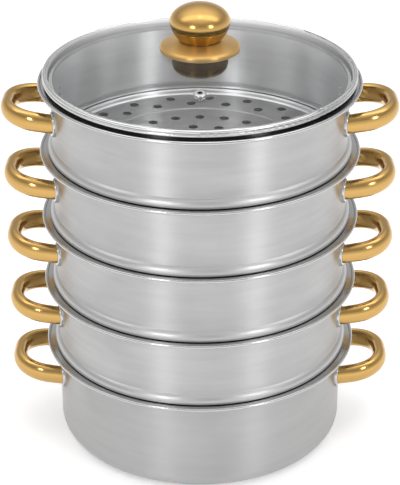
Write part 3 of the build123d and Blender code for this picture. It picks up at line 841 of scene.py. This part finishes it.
hole_centres = []
for share, count, first_angle in HOLE_RINGS:
    for number in range(count):
        angle = math.radians(first_angle) + math.tau * number / count
        hole_centres.append((share * WALL * math.cos(angle), share * WALL * math.sin(angle), 0))
perforated = grown("perforated_floor", points_mesh("hole_centres", hole_centres), FLOOR_TREE, {
    "Hole Lip": hole_lip, "Hole Steps": HOLE_STEPS, "Collar Radius": HOLE_COLLAR * MM,
    "Turn Steps": TURN_STEPS, "Floor Radius": FLOOR_EDGE * MM, "Step Radius": STEP_PLACE * MM,
    "Step Run": STEP_RUN * MM, "Step Drop": STEP_DROP * MM, "Sheet": SHEET * MM, "Finish": floor_steel_painted_shade})
print("a floor has", len(hole_centres), "holes and", len(perforated.polygons), "faces")


# %% [markdown]
# ### The four tiers
#
# Wall, step and floor meet at the same points, so after their doubles are merged a tier is one closed sheet.
# Its finish changes from place to place: brushed walls, polished flange and softly polished foot.
# The inside is painted paler as painted light for its own reflections, and the floor darker as painted shade.
# The walls of the punched holes and the band where the foot meets the vessel below are painted near black
# as painted shade.


# %% The four tiers
def joined(name, parts):
    """One mesh from several, each given as (mesh, height in millimetres)."""
    whole = bmesh.new()
    for data, height in parts:
        part = data.copy()
        part.transform(Matrix.Translation((0, 0, height * MM)))
        whole.from_mesh(part)
        bpy.data.meshes.remove(part)
    return stored(name, whole)


FLOOR_TOP = FLOOR_UNDER + SHEET
tier_parts = [
    (turned_mesh("tier_wall", tier_outline), 0),
    (turned_mesh("step_top", step_outline), FLOOR_TOP),
    (turned_mesh("step_under", step_outline), FLOOR_UNDER),
    (perforated, FLOOR_TOP)]
for number in range(1, TIER_COUNT + 1):
    foot = BASE_TOP + PITCH * (number - 1)
    shell = joined(f"tier_{number}_shell", [(data, height + foot) for data, height in tier_parts])
    tier = finished(f"tier_{number}_shell", shell, turned_steel, f"tier_{number}", "steel",
                    f"steamer_tier_{number}", f"tier_{number}_floor")
    refinish(tier, polished_steel, MOUTH, FLANGE_EDGE, foot + PITCH - FLANGE_BAND, foot + PITCH + BEAD)
    refinish(tier, foot_steel, SPIGOT, FLANGE_EDGE, foot + FLOOR_UNDER, foot + crease_height)
    # Painted light: the inside of the wall gets a paler copy of the steel.
    refinish(tier, inner_steel_painted_light, FLOOR_EDGE, FLANGE_EDGE, foot + FLOOR_UNDER, foot + PITCH - MOUTH_ROUND, -1)
    # Painted shade: a near-black band round the foot, where it meets the flange below.
    refinish(tier, painted_shade_steel, SPIGOT, FLANGE_EDGE, foot - FOOT_PAINTED_SHADE_REACH, foot + FOOT_PAINTED_SHADE_REACH, 1)
    # Painted shade: the floor's steel is darker than the walls'.
    refinish(tier, floor_steel_painted_shade, -1, FLOOR_EDGE, foot + FLOOR_UNDER - SHEET - BEAD, foot)
    # Painted shade: the walls of the punched holes are near black, for the shade seen through them.
    for nearest, farthest, lift in (
            (-1, STEP_PLACE - STEP_RUN, -STEP_DROP), (STEP_PLACE + STEP_RUN, FLOOR_EDGE, 0)):
        refinish(tier, painted_shade_steel, nearest, farthest, foot + lift + FLOOR_UNDER + HOLE_LEAD_DROP,
                 foot + lift + FLOOR_TOP - HOLE_LEAD_DROP)
print("a tier has", len(tier.data.polygons), "faces")

# %% [markdown]
# ## Handles and weld pads
#
# Each handle is one oval steel tube, bent at two corners and welded by its ends to oval pads. It rises a
# little from the wall to the grip. A tree fillets a path of four points, sweeps the tube along it, and cuts
# the tube's ends to the round of the wall, so that they end inside the pads all round.


# %% Tree: bent tube
def build_tube_tree():
    """Oval tube along a path with filleted corners, with its ends laid on a cylinder about the Z axis."""
    size = "NodeSocketFloat"
    group, start, end = new_group(
        "bent_tube", "GeometryNodeTree",
        [("Geometry", "NodeSocketGeometry", None), ("Corner Radius", size, None),
         ("Corner Steps", "NodeSocketInt", None), ("Tube Width", size, None), ("Tube Height", size, None),
         ("Tube Steps", "NodeSocketInt", None), ("Weld Radius", size, None),
         ("Finish", "NodeSocketMaterial", None)],
        [("Geometry", "NodeSocketGeometry")])
    given = start.outputs
    path = add(group, "GeometryNodeMeshToCurve", {"Mesh": given["Geometry"]})
    bent = add(group, "GeometryNodeFilletCurve", {"Curve": path.outputs[0]}, mode="POLY")
    for source, target in (("Corner Steps", "Count"), ("Corner Radius", "Radius")):
        group.links.new(given[source], bent.inputs[target])
    upright = add(group, "GeometryNodeSetCurveNormal", {"Curve": bent.outputs[0]}, mode="Z_UP")
    circle = add(group, "GeometryNodeCurvePrimitiveCircle", {
        "Resolution": given["Tube Steps"], "Radius": 1 / 2})
    oval = add(group, "ShaderNodeCombineXYZ", {
        0: given["Tube Width"], 1: given["Tube Height"], 2: 1.0}).outputs[0]
    section = add(group, "GeometryNodeTransform", {"Geometry": circle.outputs[0], "Scale": oval})
    tube = add(group, "GeometryNodeCurveToMesh", {
        "Curve": upright.outputs[0], "Profile Curve": section.outputs[0], "Fill Caps": True})
    place = add(group, "GeometryNodeInputPosition").outputs[0]
    parts = add(group, "ShaderNodeSeparateXYZ", {0: place}).outputs
    near = math_node(group, "LESS_THAN", math_node(group, "ABSOLUTE", parts["X"]), given["Weld Radius"])
    across = math_node(group, "MULTIPLY", parts["Y"], parts["Y"])
    square = math_node(group, "MULTIPLY", given["Weld Radius"], given["Weld Radius"])
    depth = math_node(group, "SQRT", math_node(group, "SUBTRACT", square, across))
    welded_x = math_node(group, "MULTIPLY", depth, math_node(group, "SIGN", parts["X"]))
    welded = add(group, "ShaderNodeCombineXYZ", {0: welded_x, 1: parts["Y"], 2: parts["Z"]}).outputs[0]
    cut = add(group, "GeometryNodeSetPosition", {
        "Geometry": tube.outputs[0], "Selection": near, "Position": welded})
    done = add(group, "GeometryNodeSetMaterial", {"Geometry": cut.outputs[0], "Material": given["Finish"]})
    group.links.new(done.outputs[0], end.inputs[0])
    return group


TUBE_TREE = build_tube_tree()
print("tree:", TUBE_TREE.name)

# %% [markdown]
# ### Pieces set on the wall
#
# Pads and weld marks are the same small shapes at many places round the wall. A tree sets one shape on each
# point and turns it to face outwards, which is shorter and surer than to work out each place by hand.


# %% Tree: pieces set on a wall
def build_wall_tree():
    """One object set on each point and turned so that its X axis faces away from the Z axis."""
    group, start, end = new_group(
        "set_on_wall", "GeometryNodeTree",
        [("Geometry", "NodeSocketGeometry", None), ("Piece", "NodeSocketObject", None),
         ("Finish", "NodeSocketMaterial", None)],
        [("Geometry", "NodeSocketGeometry")])
    outwards = from_axis(group, add(group, "GeometryNodeInputPosition").outputs[0])[0]
    turn = add(group, "FunctionNodeAlignRotationToVector", {"Vector": outwards}, axis="X", pivot_axis="Z")
    piece = add(group, "GeometryNodeObjectInfo", {"Object": start.outputs["Piece"]})
    copies = add(group, "GeometryNodeInstanceOnPoints", {
        "Points": start.outputs["Geometry"], "Instance": piece.outputs["Geometry"],
        "Rotation": turn.outputs[0]})
    real = add(group, "GeometryNodeRealizeInstances", {0: copies.outputs[0]})
    done = add(group, "GeometryNodeSetMaterial", {
        "Geometry": real.outputs[0], "Material": start.outputs["Finish"]})
    group.links.new(done.outputs[0], end.inputs[0])
    return group


WALL_TREE = build_wall_tree()
print("tree:", WALL_TREE.name)

# %% [markdown]
# ### Weld pad
#
# The tube's end is closed by an oval steel pad that follows the round of the wall. The pad is made as rings
# of points: the first lies just inside the wall, and the others round its edge over.

# %% Weld pad
PAD_HALF_WIDTH = 9.0
PAD_HALF_HEIGHT = 12.0
PAD_THICKNESS = 2.6
PAD_ROUND = 0.9
PAD_ROUND_STEPS = 5
PAD_SUNK = 0.2
PAD_STEPS = 48


def pad_mesh():
    """Oval pad bent to the wall, with a rounded edge. X points outwards and the wall passes through 0."""
    edge = arc((-PAD_ROUND, PAD_THICKNESS - PAD_ROUND), PAD_ROUND, 0, 90, PAD_ROUND_STEPS)
    levels = [(0, -PAD_SUNK)] + edge
    mesh = bmesh.new()
    rings = []
    for inset, thickness in levels:
        ring = []
        for step in range(PAD_STEPS):
            angle = math.tau * step / PAD_STEPS
            across = (PAD_HALF_WIDTH + inset) * math.cos(angle)
            up = (PAD_HALF_HEIGHT + inset) * math.sin(angle)
            depth = math.sqrt((WALL + thickness)**2 - across**2) - WALL
            ring.append(mesh.verts.new(Vector((depth, across, up)) * MM))
        rings.append(ring)
    bridge(mesh, rings, PAD_STEPS)
    mesh.faces.new(rings[0])
    mesh.faces.new(rings[-1])
    return stored("weld_pad", mesh)


weld_pad = bpy.data.objects.new("weld_pad", pad_mesh())
print("a pad has", len(weld_pad.data.polygons), "faces")

# %% [markdown]
# ### Weld marks
#
# Spot welding leaves small bright domes on the inside of the wall, behind each pad. In the photograph they
# show through the glass as a short upright row of sparks. One dome is turned about its own axis and tipped
# so that it looks inwards.

# %% Weld mark
MARK = 1.0
MARK_RISE = 0.9
MARK_ANGLES = (0, 30, 60)
MARK_STEPS = 12

mark_outline = [(MARK * math.cos(math.radians(angle)), MARK_RISE * math.sin(math.radians(angle)))
                for angle in MARK_ANGLES] + [(0, MARK_RISE)]
mark_data = turned_mesh("weld_mark", mark_outline, steps=MARK_STEPS)
mark_data.transform(Matrix.Translation((-SHEET * MM, 0, 0)) @ Matrix.Rotation(math.radians(-90), 4, "Y"))
weld_mark = bpy.data.objects.new("weld_mark", mark_data)
print("a mark has", len(mark_data.polygons), "faces")

# %% [markdown]
# ### The ten handles
#
# All five vessels carry the same pair of handles at the same depth below the flange. For each vessel the
# loop lays out two tube paths and the places of the pads and marks, and runs the trees on them. The marks
# belong to the same piece as the pads.

# %% Sizes of a handle
TUBE_WIDTH = 13.7
TUBE_HEIGHT = 19.0
TUBE_STEPS = 40
LEG_OFFSET = 35.8
HANDLE_REACH = 45.3
HANDLE_RISE = 6.2
HANDLE_DROP = 31.6
HANDLE_CORNER = 31.0
CORNER_STEPS = 14
MARK_PITCH = 6.5
LEG_ROOT = math.sqrt(WALL**2 - LEG_OFFSET**2)
GRIP_PLACE = LEG_ROOT + math.sqrt(HANDLE_REACH**2 - HANDLE_RISE**2)
FLANGE_TOPS = {"base": BASE_TOP}
FLANGE_TOPS.update({f"tier_{number}": BASE_TOP + PITCH * number for number in range(1, TIER_COUNT + 1)})
print("a grip stands", round(GRIP_PLACE - WALL, 1), "mm from the wall")

# %% Handles and pads of each vessel
for body, flange_top in FLANGE_TOPS.items():
    root_height = flange_top - HANDLE_DROP
    grip_height = root_height + HANDLE_RISE
    path_points, path_edges, pad_points = [], [], []
    for side in (-1, 1):
        first = len(path_points)
        roots = [(side * LEG_ROOT, across, root_height) for across in (-LEG_OFFSET, LEG_OFFSET)]
        corners = [(side * GRIP_PLACE, across, grip_height) for across in (-LEG_OFFSET, LEG_OFFSET)]
        path_points += [roots[0], corners[0], corners[1], roots[1]]
        path_edges += [(first + step, first + step + 1) for step in range(3)]
        pad_points += roots
    handles = grown(f"{body}_handles", points_mesh("handle_paths", path_points, path_edges), TUBE_TREE, {
        "Corner Radius": HANDLE_CORNER * MM, "Corner Steps": CORNER_STEPS,
        "Tube Width": TUBE_WIDTH * MM, "Tube Height": TUBE_HEIGHT * MM,
        "Tube Steps": TUBE_STEPS, "Weld Radius": (WALL + PAD_THICKNESS / 2) * MM, "Finish": gold_tube})
    finished(f"{body}_handles", handles, gold_tube, body, "gold",
             f"{body}_handle_left", f"{body}_handle_right")
    pads = grown(f"{body}_weld_pads", points_mesh("pad_places", pad_points), WALL_TREE, {
        "Piece": weld_pad, "Finish": pad_steel})
    mark_points = [(x, y, z + step * MARK_PITCH) for x, y, z in pad_points for step in (-1, 0, 1)]
    marks = grown(f"{body}_weld_marks", points_mesh("mark_places", mark_points), WALL_TREE, {
        "Piece": weld_mark, "Finish": pad_steel})
    pads = joined(f"{body}_weld_pads", [(pads, 0), (marks, 0)])
    finished(f"{body}_weld_pads", pads, pad_steel, body, "steel",
             f"{body}_weld_pads_left", f"{body}_weld_pads_right")
print("handles and pads on", list(FLANGE_TOPS))

# %% [markdown]
# ## The lid
#
# The dome, its rolled rim, the vent eyelet and the pieces of the knob have their right shapes in the packed
# model, with real thicknesses and rounded edges. They stay, and get the finishes made above.

# %% Lid finishes
LID_FINISHES = {
    "lid_glass": glass, "lid_rim": rim_steel_painted_light_and_shade, "vent_eyelet": bright_steel,
    "knob_cap": gold_cap_painted_shade, "knob_cup": gold_cup_painted_shade, "knob_skirt": gold_satin_painted_light,
    "knob_insert": hardware_steel, "knob_screw": hardware_steel, "screw_washer": hardware_steel,
    "backing_cup": dark_plastic, "knob_gasket": silicone, "backing_gasket": silicone}

for node, finish in LID_FINISHES.items():
    for material_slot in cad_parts[node].material_slots:
        material_slot.material = finish
print(len(LID_FINISHES), "pieces of the lid are finished")

# %% [markdown]
# ## Helper shapes
#
# The three small shapes that only served the trees are removed first.

# %% Remove the helper shapes
for helper_shape in (hole_lip, weld_pad, weld_mark):
    bpy.data.objects.remove(helper_shape)
